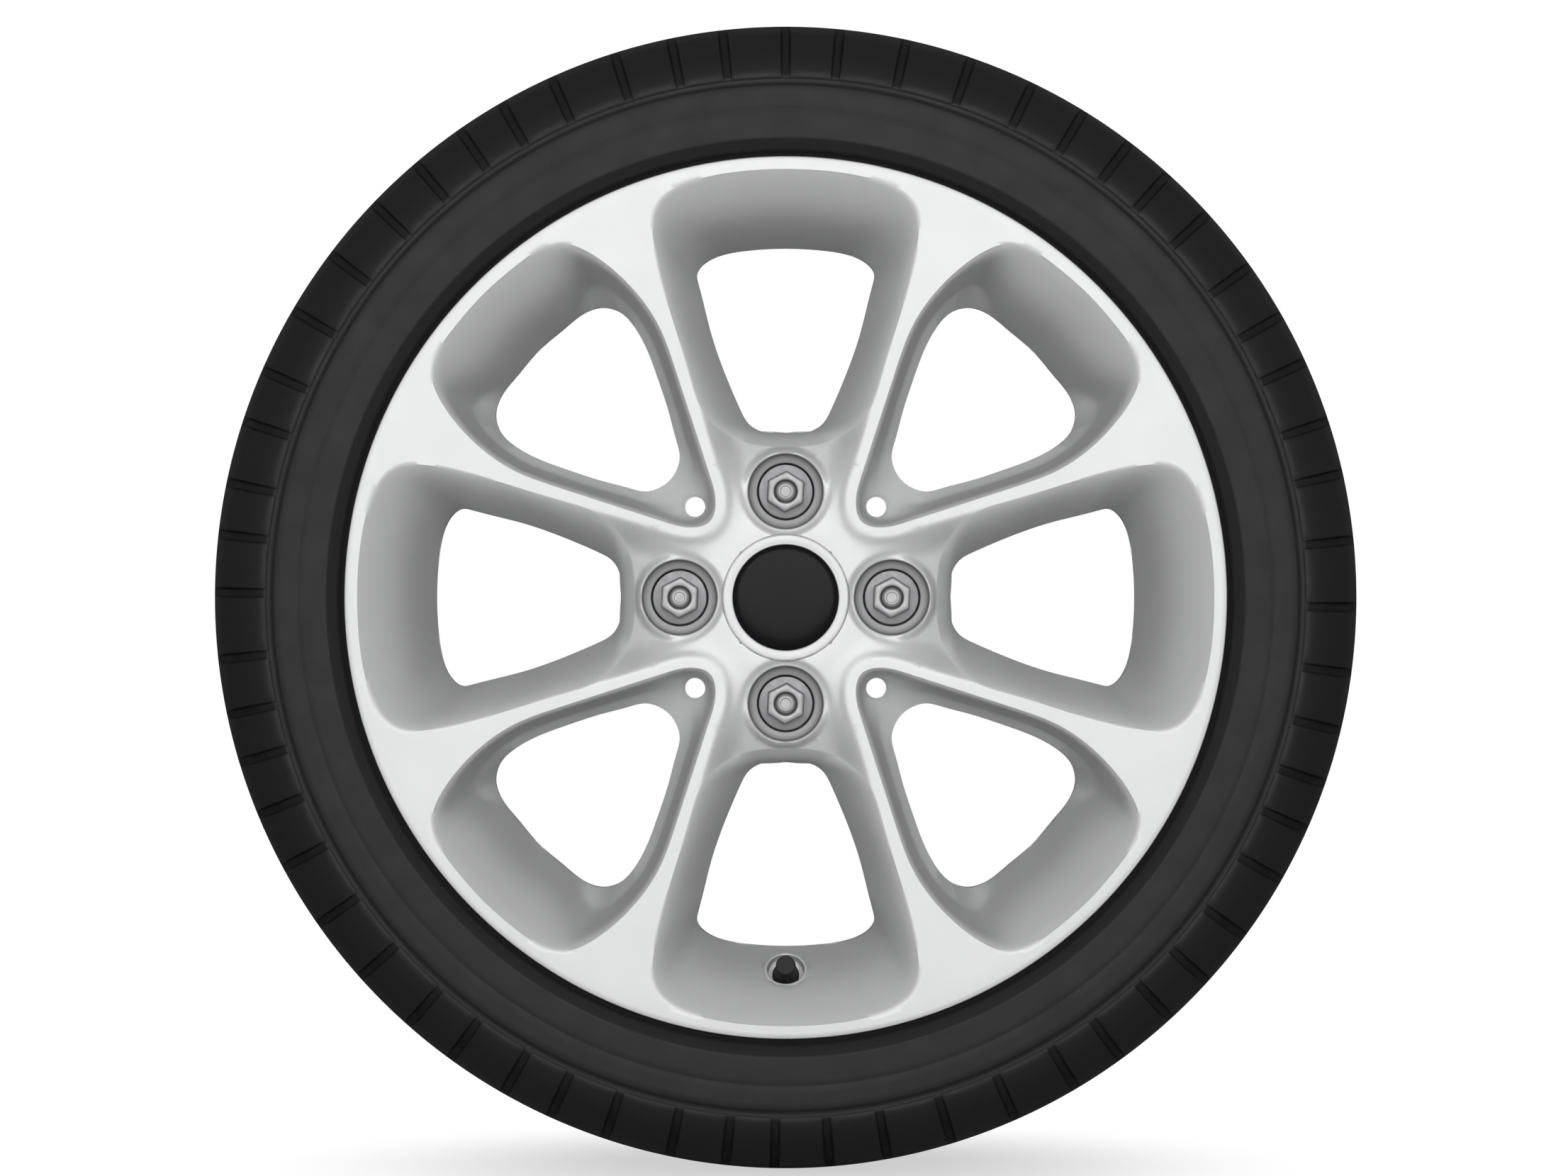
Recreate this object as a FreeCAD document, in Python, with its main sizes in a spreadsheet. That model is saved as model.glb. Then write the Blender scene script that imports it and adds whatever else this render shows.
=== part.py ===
import FreeCAD, Part
import math
import os
import Sketcher
from FreeCAD import Placement, Rotation, Vector

# Alloy wheel with tyre, four wheel bolts, centre cap and snap-in valve.
# Millimetres. The axle is Y, the face looks along -Y, Z is up and the origin
# lies on the axle, midway between the two rim flanges.

doc = FreeCAD.newDocument("alloy_wheel")
sheet = doc.addObject("Spreadsheet::Sheet", "sizes")

SIZES = {
    # rim barrel
    "rim_width": 127.0,
    "flange_diameter": 415.0,
    "flange_thick": 11.0,
    "lip_radius": 2.5,
    "seat_diameter": 380.2,
    "heel_radius": 6.5,
    "seat_length": 13.0,
    "seat_taper": 5.0,
    "hump_length": 7.5,
    "hump_radius": 6.0,
    "well_diameter": 345.6,
    "well_front": 16.5,
    "well_rear": 8.0,
    "barrel_wall": 4.6,
    "face_ring": 6.1,
    "mouth_edge": 2.2,
    "dish_depth": 16.5,
    "dish_radius": 56.0,
    # hub and spokes
    "wheel_offset": 32.0,
    "hub_bore": 60.1,
    "bore_length": 20.0,
    "spigot_length": 11.0,
    "hook_groove": 0.8,
    "cap_hole": 59.8,
    "cap_lip": 55.0,
    "cap_lip_thick": 4.0,
    "pad_diameter": 150.0,
    "face_dish": 4.0,
    "spoke_depth": 45.0,
    "channel_depth": 11.0,
    "pocket_tip": 0.14,
    "drain_circle": 121.6,
    "drain_hole": 9.6,
    "pad_pocket": 17.0,
    "pad_pocket_depth": 7.0,
    # wheel bolts
    "bolt_circle": 100.0,
    "bolt_hole": 14.0,
    "bolt_pocket": 34.0,
    "bolt_flange": 25.5,
    "bolt_flange_gap": 0.7,
    "bolt_flange_thick": 2.0,
    "bolt_floor": 13.0,
    "bolt_thread": 12.0,
    "bolt_thread_stop": 0.4,
    "bolt_shank": 11.6,
    "bolt_reach": 18.0,
    "bolt_seat_angle": 60.0,
    "hex_across": 17.0,
    "hex_height": 7.5,
    "bolt_recess": 10.8,
    "bolt_recess_depth": 2.5,
    # centre cap
    "cap_gap": 0.25,
    "cap_ring": 4.6,
    "cap_thick": 2.2,
    "cap_leg_thick": 1.8,
    "cap_leg_length": 12.0,
    "cap_hook": 1.2,
    "cap_disc_thick": 1.6,
    "cap_disc_dome": 1.4,
    "cap_wire": 1.6,
    # tyre
    "tyre_diameter": 546.0,
    "tyre_width": 165.0,
    "bead_gap": 0.05,
    "tread_width": 128.0,
    "tread_depth": 7.0,
    "tread_thick": 14.0,
    "side_thick": 7.0,
    "groove_width": 9.0,
    "groove_spread": 25.0,
    "shoulder_groove": 4.6,
    "shoulder_depth": 3.0,
    # valve
    "valve_tilt": 18.0,
    "valve_radius": 180.5,
    "valve_forward": 29.0,
    "valve_hole": 11.6,
    "valve_pocket": 18.6,
    "valve_seat_thick": 4.0,
    "valve_boss": 26.0,
    "valve_rubber": 12.8,
    "valve_bulb": 15.4,
    "valve_bulb_length": 8.0,
    "valve_tube": 7.7,
    "valve_tube_end": 17.5,
    "valve_rubber_end": 8.5,
    "valve_cap_across": 9.5,
    "valve_cap_start": 9.0,
    "valve_cap_end": 20.0,
    "thread_gap": 0.3,
    "core_head": 5.1,
    "core_neck": 3.6,
    "core_bore": 2.9,
    "core_pin": 1.1,
    "spring_wire": 0.3,
    "spring_turns": 6.0,
}
for row, (alias, value) in enumerate(SIZES.items(), 1):
    sheet.set("A%d" % row, alias)
    sheet.set("B%d" % row, str(value))
    sheet.setAlias("B%d" % row, alias)
doc.recompute()


class Dim:
    """A length kept both as a number and as the text that binds it to the sheet."""

    def __init__(self, value, text):
        self.value = float(value)
        self.text = text

    def __add__(self, other):
        other = dim(other)
        return Dim(self.value + other.value, "(%s + %s)" % (self.text, other.text))

    def __sub__(self, other):
        other = dim(other)
        return Dim(self.value - other.value, "(%s - %s)" % (self.text, other.text))

    def __mul__(self, other):
        other = dim(other)
        return Dim(self.value * other.value, "(%s * %s)" % (self.text, other.text))

    def __truediv__(self, other):
        other = dim(other)
        return Dim(self.value / other.value, "(%s / %s)" % (self.text, other.text))

    def __radd__(self, other):
        return dim(other) + self

    def __rsub__(self, other):
        return dim(other) - self

    def __rmul__(self, other):
        return dim(other) * self

    def __neg__(self):
        return Dim(-self.value, "(-%s)" % self.text)


def dim(value):
    """Turn a plain number into a length."""
    return value if isinstance(value, Dim) else Dim(value, repr(float(value)))


def size(name):
    """A named size of the sheet."""
    return Dim(sheet.get(name), "sizes." + name)


def sind(angle):
    return Dim(math.sin(math.radians(angle.value)), "sin(%s * 1 deg)" % angle.text)


def cosd(angle):
    return Dim(math.cos(math.radians(angle.value)), "cos(%s * 1 deg)" % angle.text)


def tand(angle):
    return Dim(math.tan(math.radians(angle.value)), "tan(%s * 1 deg)" % angle.text)


def arc_between(start, end, radius, side):
    """Arc from start to end; side +1 bulges to the left of the way from start to end."""
    mid = (start + end) * 0.5
    way = end - start
    half = way.Length / 2
    left = Vector(-way.y, way.x, 0).normalize()
    rise = radius - math.sqrt(max(radius * radius - half * half, 0.0))
    return Part.Arc(start, mid + left * (rise * side), end)


def outline(sketch, corners):
    """Closed outline. A corner is (x, y), or (x, y, radius, side) for an arc to the next corner."""
    places = [Vector(dim(c[0]).value, dim(c[1]).value, 0) for c in corners]
    count = len(corners)
    first = []
    for i, corner in enumerate(corners):
        start, end = places[i], places[(i + 1) % count]
        if len(corner) == 2:
            edge = Part.LineSegment(start, end)
            ends = (1, 2)
        else:
            edge = arc_between(start, end, dim(corner[2]).value, corner[3])
            ends = (1, 2) if edge.toShape().Curve.Axis.z > 0 else (2, 1)
        first.append((sketch.addGeometry(edge), ends))
    for i, corner in enumerate(corners):
        geo, ends = first[i]
        after, after_ends = first[(i + 1) % count]
        sketch.addConstraint(Sketcher.Constraint("Coincident", geo, ends[1], after, after_ends[0]))
        for kind, length in (("DistanceX", dim(corner[0])), ("DistanceY", dim(corner[1]))):
            index = sketch.addConstraint(
                Sketcher.Constraint(kind, -1, 1, geo, ends[0], length.value))
            sketch.setExpression("Constraints[%d]" % index, length.text)
        if len(corner) > 2:
            radius = dim(corner[2])
            index = sketch.addConstraint(Sketcher.Constraint("Radius", geo, radius.value))
            sketch.setExpression("Constraints[%d]" % index, radius.text)


def plane_of(body, role):
    return [f for f in body.Origin.OriginFeatures if f.Role == role][0]


def new_body(label):
    body = doc.addObject("PartDesign::Body", label)
    body.Label = label
    return body


def sketch_in(body, name, role, corners=None):
    sketch = body.newObject("Sketcher::SketchObject", name)
    sketch.AttachmentSupport = [(plane_of(body, role), "")]
    sketch.MapMode = "FlatFace"
    doc.recompute()
    if corners:
        outline(sketch, corners)
    return sketch


def turned(body, name, corners, cut=False):
    """A piece turned about Y from a section in the plane of radius and axle."""
    sketch = sketch_in(body, name + "_section", "XY_Plane", corners)
    kind = "PartDesign::Groove" if cut else "PartDesign::Revolution"
    feature = body.newObject(kind, name)
    feature.Profile = sketch
    feature.ReferenceAxis = (sketch, ["V_Axis"])
    feature.Angle = 360.0
    doc.recompute()
    body.Tip = feature
    return feature


def around(shape, angles):
    """Copies of a shape turned about the axle, angles in degrees from straight up to the right."""
    copies = []
    for angle in angles:
        copy = shape.copy()
        copy.rotate(Vector(0, 0, 0), Vector(0, 1, 0), angle)
        copies.append(copy)
    return copies


def tool(name, shapes):
    feature = doc.addObject("Part::Feature", name)
    feature.Shape = shapes[0] if len(shapes) == 1 else Part.makeCompound(shapes)
    return feature


def cut(name, base, cutter):
    feature = doc.addObject("Part::Cut", name)
    feature.Base = base
    feature.Tool = cutter
    feature.Refine = True
    doc.recompute()
    return feature


# Levels and radii that several pieces share; "front" sizes are measured forward of the middle.
flange_r = size("flange_diameter") / 2
half_width = size("rim_width") / 2
face = half_width + size("flange_thick")
lip = size("lip_radius")
curl = size("flange_thick") - lip
seat_r = size("seat_diameter") / 2
heel = size("heel_radius")
seat_end = half_width - heel - size("seat_length")
seat_low = seat_r - size("seat_length") * tand(size("seat_taper"))
hump_end = seat_end - size("hump_length")
well_r = size("well_diameter") / 2
wall = size("barrel_wall")
mouth_r = flange_r - size("face_ring")
bolt_r = size("bolt_circle") / 2
pad = size("wheel_offset")
hub_face = face - size("face_dish")
bore_r = size("hub_bore") / 2

# Alloy rim: the barrel, turned about the axle.
barrel_body = new_body("barrel_ring")
dish_in = seat_low - wall + 0.6
dish_back = face - size("dish_depth")
turned(barrel_body, "barrel", [
    (mouth_r + size("mouth_edge"), -face),
    (flange_r - lip, -face, lip, -1),
    (flange_r, -(face - lip), curl, 1),
    (flange_r - curl, -half_width),
    (seat_r + heel, -half_width, heel, 1),
    (seat_r, -(half_width - heel)),
    (seat_low, -seat_end, size("hump_radius"), -1),
    (seat_low, -hump_end),
    (well_r, -size("well_front")),
    (well_r, size("well_rear")),
    (seat_low, hump_end, size("hump_radius"), -1),
    (seat_low, seat_end),
    (seat_r, half_width - heel, heel, 1),
    (seat_r + heel, half_width),
    (flange_r - curl, half_width, curl, 1),
    (flange_r, face - lip, lip, -1),
    (flange_r - lip, face),
    (flange_r - lip * 2, face, curl - wall + lip, 1),
    (flange_r - curl, half_width + wall),
    (seat_r + heel - wall, half_width + wall, heel + wall - 1.0, -1),
    (seat_r - wall, half_width - heel),
    (seat_low - wall, hump_end + 1.5),
    (well_r - wall, size("well_rear") + 1.5),
    (well_r - wall, -(size("well_front") + 3.5)),
    (seat_low - wall, -(hump_end + 5.5)),
    (dish_in, -dish_back, size("dish_radius"), 1),
    (mouth_r - size("mouth_edge") * 0.75, -(face - size("mouth_edge") * 0.55), 4.5, -1),
])

# Alloy rim: the disc with hub, turned solid; its outer edge lies inside the barrel metal.
disc_body = new_body("spoke_disc")
spoke_back = face - size("spoke_depth")
cap_floor = pad + size("bore_length") + size("cap_lip_thick")
turned(disc_body, "disc", [
    (bore_r, -(pad + 1.0)),
    (bore_r, -(pad + size("spigot_length"))),
    (bore_r + size("hook_groove"), -(pad + size("spigot_length") + size("hook_groove"))),
    (bore_r + size("hook_groove"), -(pad + size("bore_length"))),
    (size("cap_lip") / 2, -(pad + size("bore_length"))),
    (size("cap_lip") / 2, -cap_floor),
    (size("cap_hole") / 2, -cap_floor),
    (size("cap_hole") / 2, -(hub_face - 0.8)),
    (size("cap_hole") / 2 + 0.8, -hub_face),
    (mouth_r - 2.0, -face),
    (flange_r - lip, -face),
    (flange_r - curl / 2, -(face - curl / 2)),
    (seat_r + 1.5, -(half_width - 0.5)),
    (seat_low - wall / 2, -(half_width - heel)),
    (seat_low - wall / 2, -(seat_end - 1.0)),
    (well_r + 5.0, -(size("well_front") + 11.5)),
    (well_r - wall / 2, -(size("well_front") + 0.5)),
    (well_r - wall / 2, -(size("well_front") - 8.5)),
    (well_r - 22.0, -(spoke_back - 1.5)),
    (size("pad_diameter") / 2 + 3.0, -(spoke_back + 0.5)),
    (size("pad_diameter") / 2, -pad),
    (bore_r + 1.0, -pad),
])


def window_loop(points, depth, tip=0.0):
    """Closed smooth outline of a window at a depth below the face, from half of its points.

    A point is (half width, share of the way from the bolt circle to the mouth of the barrel).
    The plane of the outline leans with the dished face; tip raises its hub end further."""
    reach = mouth_r.value - bolt_r.value
    lean = size("face_dish").value / (mouth_r.value - size("cap_hole").value / 2) - tip
    half = [(w, bolt_r.value + share * reach) for w, share in points]
    ring = half + [(-w, v) for w, v in reversed(half[1:-1])]
    places = [Vector(w, -(face.value - depth - lean * (mouth_r.value - v)), v) for w, v in ring]
    curve = Part.BSplineCurve()
    curve.interpolate(places, PeriodicFlag=True)
    return Part.Wire(curve.toShape())


def blend(first, second, share):
    """Outline between two outlines."""
    return [(a[0] + (b[0] - a[0]) * share, a[1] + (b[1] - a[1]) * share)
            for a, b in zip(first, second)]


# Windows on the cross axes: mouth on the face, throat at the spoke backs, and the barrel end.
CROSS_MOUTH = [(0, 1.030), (30, 1.014), (48, 0.961), (57, 0.920), (61.8, 0.862), (62.4, 0.793),
               (59.2, 0.674), (54.7, 0.565), (49.7, 0.459), (45, 0.353), (40.3, 0.264),
               (31, 0.192), (18, 0.152), (0, 0.140)]
CROSS_THROAT = [(0, 0.915), (27, 0.900), (39, 0.850), (43, 0.785), (43.2, 0.720), (41.8, 0.664),
                (39.2, 0.598), (35.7, 0.505), (31.5, 0.419), (26.4, 0.334), (21.6, 0.261),
                (17.4, 0.215), (10.8, 0.192), (0, 0.188)]
CROSS_END = [(0, 0.790), (20, 0.782), (32, 0.761), (39, 0.732), (42.3, 0.700)] + CROSS_THROAT[5:]

# Windows on the diagonals: mouth, crease low on the wall, throat and barrel end.
DIAG_MOUTH = [(0, 1.030), (20, 1.020), (36, 0.972), (43.3, 0.938), (48.6, 0.875), (51.3, 0.793),
              (51.8, 0.674), (48, 0.542), (40.5, 0.429), (32, 0.319), (23.2, 0.205),
              (15.5, 0.106), (8.4, 0.033), (0, 0.003)]
DIAG_CREASE = [(0, 0.905), (17, 0.898), (31, 0.876), (38.5, 0.840), (43, 0.785), (44.8, 0.720),
               (45.2, 0.641), (42, 0.540), (34.4, 0.439), (26.6, 0.343), (19, 0.251),
               (12.5, 0.165), (7, 0.076), (0, 0.043)]
DIAG_THROAT = [(0, 0.852), (16.5, 0.845), (30, 0.812), (35.5, 0.776), (38.8, 0.727), (40.6, 0.667),
               (40.3, 0.614), (36.6, 0.528), (30.2, 0.436), (22.8, 0.340), (16, 0.263),
               (11.5, 0.218), (6.2, 0.197), (0, 0.189)]
DIAG_END = [(0, 0.790), (16, 0.785), (28, 0.766), (35.5, 0.736), (39.2, 0.700)] + DIAG_THROAT[5:]

QUARTERS = (0, 90, 180, 270)
DIAGONALS = (45, 135, 225, 315)
depth = size("spoke_depth").value
deep = face.value - size("well_front").value + 12.0
cross = Part.makeLoft([
    window_loop(blend(CROSS_MOUTH, CROSS_THROAT, -0.09), -2.0),
    window_loop(blend(CROSS_MOUTH, CROSS_THROAT, 0.06), 1.0),
    window_loop(blend(CROSS_MOUTH, CROSS_THROAT, 0.55), 13.0),
    window_loop(blend(CROSS_MOUTH, CROSS_THROAT, 0.90), depth * 0.66),
    window_loop(CROSS_THROAT, depth),
    window_loop(CROSS_END, deep),
], True, False)
diagonal = Part.makeLoft([
    window_loop(blend(DIAG_MOUTH, DIAG_CREASE, -0.06), -2.0),
    window_loop(DIAG_CREASE, depth - 2.0, size("pocket_tip").value),
    window_loop(DIAG_THROAT, depth - 0.5),
    window_loop(DIAG_END, deep),
], True, True)
windows = tool("window_cutters", around(cross, QUARTERS) + around(diagonal, DIAGONALS))


def channel_section(v, top, bottom, drop):
    """Trough section at distance v from the axle: half widths at the face and at the floor."""
    lean = size("face_dish").value / (mouth_r.value - size("cap_hole").value / 2)
    level = face.value - lean * (mouth_r.value - v)
    rise = 3.0
    wide = top + (top - bottom) * rise / drop
    places = [Vector(-wide, -(level + rise), v), Vector(wide, -(level + rise), v),
              Vector(bottom, -(level - drop), v), Vector(-bottom, -(level - drop), v)]
    return Part.makePolygon(places + places[:1])


# The hub sinks between the spokes towards each cross window, around the bolts.
drop = size("channel_depth").value
hub_edge = size("cap_hole").value / 2 + 3.0
channel = Part.makeLoft([
    channel_section(hub_edge, 30.0, 24.0, 0.06 * drop),
    channel_section(bolt_r.value, 32.5, 23.0, 0.28 * drop),
    channel_section(bolt_r.value + 22.0, 35.5, 22.0, drop),
    channel_section(bolt_r.value + 46.0, 42.5, 24.0, 1.4 * drop),
], True, False)
channels = tool("channel_cutters", around(channel, QUARTERS))

spokes = cut("spoke_star", cut("spoke_web", disc_body, windows), channels)
blank = doc.addObject("Part::Fuse", "rim_blank")
blank.Base = spokes
blank.Tool = barrel_body
blank.Refine = True
doc.recompute()

# Bolt seats: pocket, flange recess, cone and through hole on the bolt circle.
floor = face - size("bolt_floor")
flange_hole = size("bolt_flange") / 2 + size("bolt_flange_gap")
slope = tand(size("bolt_seat_angle") / 2)
cone_top = floor - size("bolt_flange_thick") + (flange_hole - size("bolt_flange") / 2) / slope
hole_r = size("bolt_hole") / 2
pocket_r = size("bolt_pocket") / 2
seat_body = new_body("bolt_seat_cutter")
turned(seat_body, "seat", [
    (0.0, -(pad - 5.0)),
    (hole_r, -(pad - 5.0)),
    (hole_r, -(cone_top - (flange_hole - hole_r) / slope)),
    (flange_hole, -cone_top),
    (flange_hole, -floor),
    (pocket_r, -floor),
    (pocket_r, -(floor + 5.0)),
    (pocket_r + 2.0, -(floor + 8.0)),
    (pocket_r + 2.0, -(face + 5.0)),
    (0.0, -(face + 5.0)),
])
seats = []
for angle in QUARTERS:
    one = seat_body.Shape.copy()
    one.translate(Vector(0, 0, bolt_r.value))
    seats += around(one, [angle])

# Drain holes in the diagonal pockets and hollows in the mounting pad.
drain = Part.makeCylinder(size("drain_hole").value / 2, face.value, Vector(0, -face.value, 0),
                          Vector(0, 1, 0))
drain.translate(Vector(0, 0, size("drain_circle").value / 2))
hollow = Part.makeCylinder(size("pad_pocket").value / 2, size("pad_pocket_depth").value + 2.0,
                           Vector(0, -pad.value + 2.0, 0), Vector(0, -1, 0))
hollow.translate(Vector(0, 0, bolt_r.value - 5.5))

# Valve seat: a boss on the tyre side, spot-faced for the rubber, with a bored pocket and the valve hole.
tilt = math.radians(size("valve_tilt").value)
valve_way = Vector(0, -math.cos(tilt), math.sin(tilt))
valve_foot = Vector(0, -size("valve_forward").value, -size("valve_radius").value)
thick = size("valve_seat_thick").value
boss = Part.makeCylinder(size("valve_boss").value / 2, thick + 3.0,
                         valve_foot - valve_way * thick, valve_way)
boss_tool = tool("valve_boss_block", [boss])
bossed = doc.addObject("Part::Fuse", "rim_with_boss")
bossed.Base = blank
bossed.Tool = boss_tool
bossed.Refine = True
doc.recompute()
pocket = Part.makeCylinder(size("valve_pocket").value / 2, 60.0, valve_foot, valve_way)
bore = Part.makeCylinder(size("valve_hole").value / 2, 30.0, valve_foot - valve_way * 15.0,
                         valve_way)
spot_face = Part.makeCylinder(size("valve_bulb").value / 2 + 0.5, 12.0,
                              valve_foot - valve_way * (thick + 12.0), valve_way)
holes = tool("hole_cutters", seats + around(drain, DIAGONALS) + around(hollow, DIAGONALS)
             + [pocket.fuse(bore).fuse(spot_face)])
rim = cut("alloy_rim", bossed, holes)
rim.Label = "alloy_rim"

# Tyre: one moulding turned about the axle, with its own beads, grooves and shoulder blocks.
gap = size("bead_gap")
tyre_r = size("tyre_diameter") / 2
bulge = size("tyre_width") / 2
tread = size("tread_width") / 2
spread = size("groove_spread")
half_groove = size("groove_width") / 2
bottom = tyre_r - size("tread_depth")
inner = tyre_r - size("tread_thick")
side = size("side_thick")
reach = Dim(50.0, "50.0")
half = [
    (seat_low + gap, seat_end),
    (seat_r + gap, half_width - heel, heel - gap, -1),
    (seat_r + heel, half_width - gap),
    (flange_r - curl, half_width - gap, curl + gap, 1),
    (flange_r - curl + (curl + gap) * sind(reach), face - lip - (curl + gap) * cosd(reach)),
    (flange_r + 1.2, face - 3.5),
    (flange_r + 5.5, bulge - 3.0),
    (flange_r + 8.5, bulge - 1.2, 60.0, -1),
    (tyre_r - 35.0, bulge - 1.2),
    (tyre_r - 32.5, bulge - 1.4),
    (tyre_r - 31.5, bulge - 2.8),
    (tyre_r - 29.8, bulge - 3.0),
    (tyre_r - 28.5, bulge - 2.2, 90.0, -1),
    (tyre_r - 14.0, tread + 6.5, 14.0, -1),
    (tyre_r - 7.5, tread - 3.0, 60.0, -1),
    (tyre_r - 1.6, spread + half_groove + 4.0, 400.0, -1),
    (tyre_r - 0.6, spread + half_groove),
    (bottom - 0.6, spread + half_groove - 1.0),
    (bottom - 0.4, spread - half_groove + 1.0),
    (tyre_r - 0.4, spread - half_groove),
    (tyre_r, half_groove),
    (bottom, half_groove - 1.0),
]
front = [(c[0], -c[1]) + tuple(c[2:3]) + tuple(-s for s in c[3:4]) for c in half]
rear = []
for i in range(len(half) - 1, -1, -1):
    arc = half[i - 1][2:] if i else ()
    rear.append((half[i][0], half[i][1]) + tuple(arc[:1]) + tuple(arc[1:]))
rear = [(c[0], c[1]) if len(c) < 4 else (c[0], c[1], c[2], -c[3]) for c in rear]
lining = [
    (seat_low + 4.0, seat_end - 1.0),
    (flange_r - 9.0, half_width - 10.0),
    (flange_r + 4.0, bulge - side - 4.0, 40.0, 1),
    (tyre_r - 35.0, bulge - side - 2.0, 30.0, 1),
    (inner - 2.0, tread - 10.0, 500.0, 1),
]
rear_lining = [(c[0], c[1]) + tuple(c[2:]) for c in lining]
front_lining = []
for i in range(len(lining) - 1, -1, -1):
    arc = lining[i - 1][2:] if i else ()
    front_lining.append((lining[i][0], -lining[i][1]) + tuple(arc))
crown = rear_lining[-1]
rear_lining[-1] = (crown[0], crown[1], 900.0, 1)
tyre_body = new_body("tyre_casing")
turned(tyre_body, "casing", front + rear + rear_lining + front_lining)

# Shoulder grooves of uneven pitch cut the blocks apart on both shoulders.
PITCHES = (5.4, 6.7, 6.7, 6.6, 5.8, 5.5, 4.9, 5.6, 6.7, 5.8, 5.2, 6.3)
low = size("shoulder_depth").value
slab_section = [
    (tyre_r.value - 26.5 - 0.2 * low, bulge.value + 2.0),
    (tyre_r.value - 26.5 - 0.2 * low, bulge.value - 2.6 - 0.4 * low),
    (tyre_r.value - 15.0 - low, tread.value + 6.0 - low),
    (tyre_r.value - 8.0 - 1.3 * low, tread.value - 5.0),
    (tyre_r.value - 3.0 - 1.4 * low, spread.value + half_groove.value + 6.0),
    (tyre_r.value + 5.0, spread.value + half_groove.value + 6.0),
    (tyre_r.value + 5.0, bulge.value + 2.0),
]
slabs = []
width = size("shoulder_groove").value
for sign, start in ((-1, 0.0), (1, 2.6)):
    places = [Vector(-width / 2, sign * y, r) for r, y in slab_section]
    slab = Part.Face(Part.makePolygon(places + places[:1])).extrude(Vector(width, 0, 0))
    turns = PITCHES * 5
    angle = start
    for pitch in turns:
        slabs += around(slab, [angle])
        angle += pitch * 360.0 / sum(turns)
tyre = cut("tyre", tyre_body, tool("shoulder_cutters", slabs))
tyre.Label = "tyre"

# Wheel bolts: thread, plain shank, cone seat, flange and hexagon with a turned recess in its end.
flange_half = size("bolt_flange") / 2
thread_r = size("bolt_thread") / 2
shank_r = size("bolt_shank") / 2
recess_r = size("bolt_recess") / 2
hex_top = floor + size("hex_height")
cone_low = floor - size("bolt_flange_thick") - (flange_half - thread_r - 0.2) / slope
for number, angle in enumerate(QUARTERS, 1):
    bolt = new_body("wheel_bolt_%d" % number)
    turned(bolt, "shank_%d" % number, [
        (0.0, -(pad - size("bolt_reach"))),
        (thread_r - 1.2, -(pad - size("bolt_reach"))),
        (thread_r, -(pad - size("bolt_reach") + 1.2)),
        (thread_r, -(pad - size("bolt_thread_stop"))),
        (shank_r, -(pad - size("bolt_thread_stop"))),
        (shank_r, -cone_low),
        (thread_r + 0.2, -cone_low),
        (flange_half, -(floor - size("bolt_flange_thick"))),
        (flange_half, -(floor - 0.4)),
        (flange_half - 0.4, -floor),
        (0.0, -floor),
    ])
    hexagon = sketch_in(bolt, "hexagon_%d" % number, "XZ_Plane")
    half_across = size("hex_across") / 2
    points = []
    for k in range(6):
        turn = Dim(60.0 * k + 93.0, repr(60.0 * k + 93.0))
        reach_out = half_across / cosd(Dim(30.0, "30.0"))
        points.append((reach_out * cosd(turn), reach_out * sind(turn)))
    outline(hexagon, points)
    hexagon.AttachmentOffset = Placement(Vector(0, 0, floor.value), Rotation())
    hexagon.setExpression("AttachmentOffset.Base.z", floor.text)
    head = bolt.newObject("PartDesign::Pad", "head_%d" % number)
    head.Profile = hexagon
    head.setExpression("Length", size("hex_height").text)
    doc.recompute()
    bolt.Tip = head
    turned(bolt, "head_edge_%d" % number, [
        (half_across - 0.3, -(hex_top + 1.0)),
        (half_across - 0.3, -hex_top),
        (half_across * 1.2, -(hex_top - half_across * 0.1)),
        (half_across * 1.2, -(hex_top + 1.0)),
    ], cut=True)
    turned(bolt, "head_recess_%d" % number, [
        (recess_r - 0.75, -(hex_top - size("bolt_recess_depth"))),
        (recess_r, -(hex_top - size("bolt_recess_depth"))),
        (recess_r, -(hex_top + 0.5)),
        (0.0, -(hex_top + 0.5)),
        (0.0, -(hex_top - 0.9)),
        (recess_r - 3.0, -(hex_top - 0.9)),
        (recess_r - 3.0, -(hex_top - 1.4)),
    ], cut=True)
    shift = Vector(0, 0, bolt_r.value)
    bolt.Placement = Placement(Vector(0, 0, 0), Rotation(Vector(0, 1, 0), angle)) * \
        Placement(shift, Rotation(Vector(0, 1, 0), -angle))

# Centre cap: a ring with snap legs, a plain domed disc and the wire ring that spreads the legs.
cap_r = size("cap_hole") / 2 - size("cap_gap")
disc_r = cap_r - size("cap_ring")
leg_r = size("cap_lip") / 2 - size("cap_gap")
cap_back = cap_floor + size("cap_gap")
leg_end = cap_floor - size("cap_leg_length")
shelf = hub_face - 1.0 - size("cap_disc_thick")
cap = new_body("centre_cap")
turned(cap, "cap_shell", [
    (0.0, -(shelf - size("cap_thick"))),
    (leg_r - size("cap_leg_thick"), -(shelf - size("cap_thick"))),
    (leg_r - size("cap_leg_thick"), -leg_end),
    (leg_r, -leg_end),
    (leg_r + size("cap_hook"), -(leg_end + 3.0)),
    (leg_r + size("cap_hook"), -(pad + size("bore_length") - size("cap_gap"))),
    (leg_r, -(pad + size("bore_length") - size("cap_gap"))),
    (leg_r, -cap_back),
    (cap_r, -cap_back),
    (cap_r, -(hub_face - 0.5)),
    (cap_r - 0.8, -(hub_face + 0.2)),
    (disc_r + 0.4, -(hub_face + 0.4)),
    (disc_r, -(hub_face)),
    (disc_r, -shelf),
    (0.0, -shelf),
])
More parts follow.
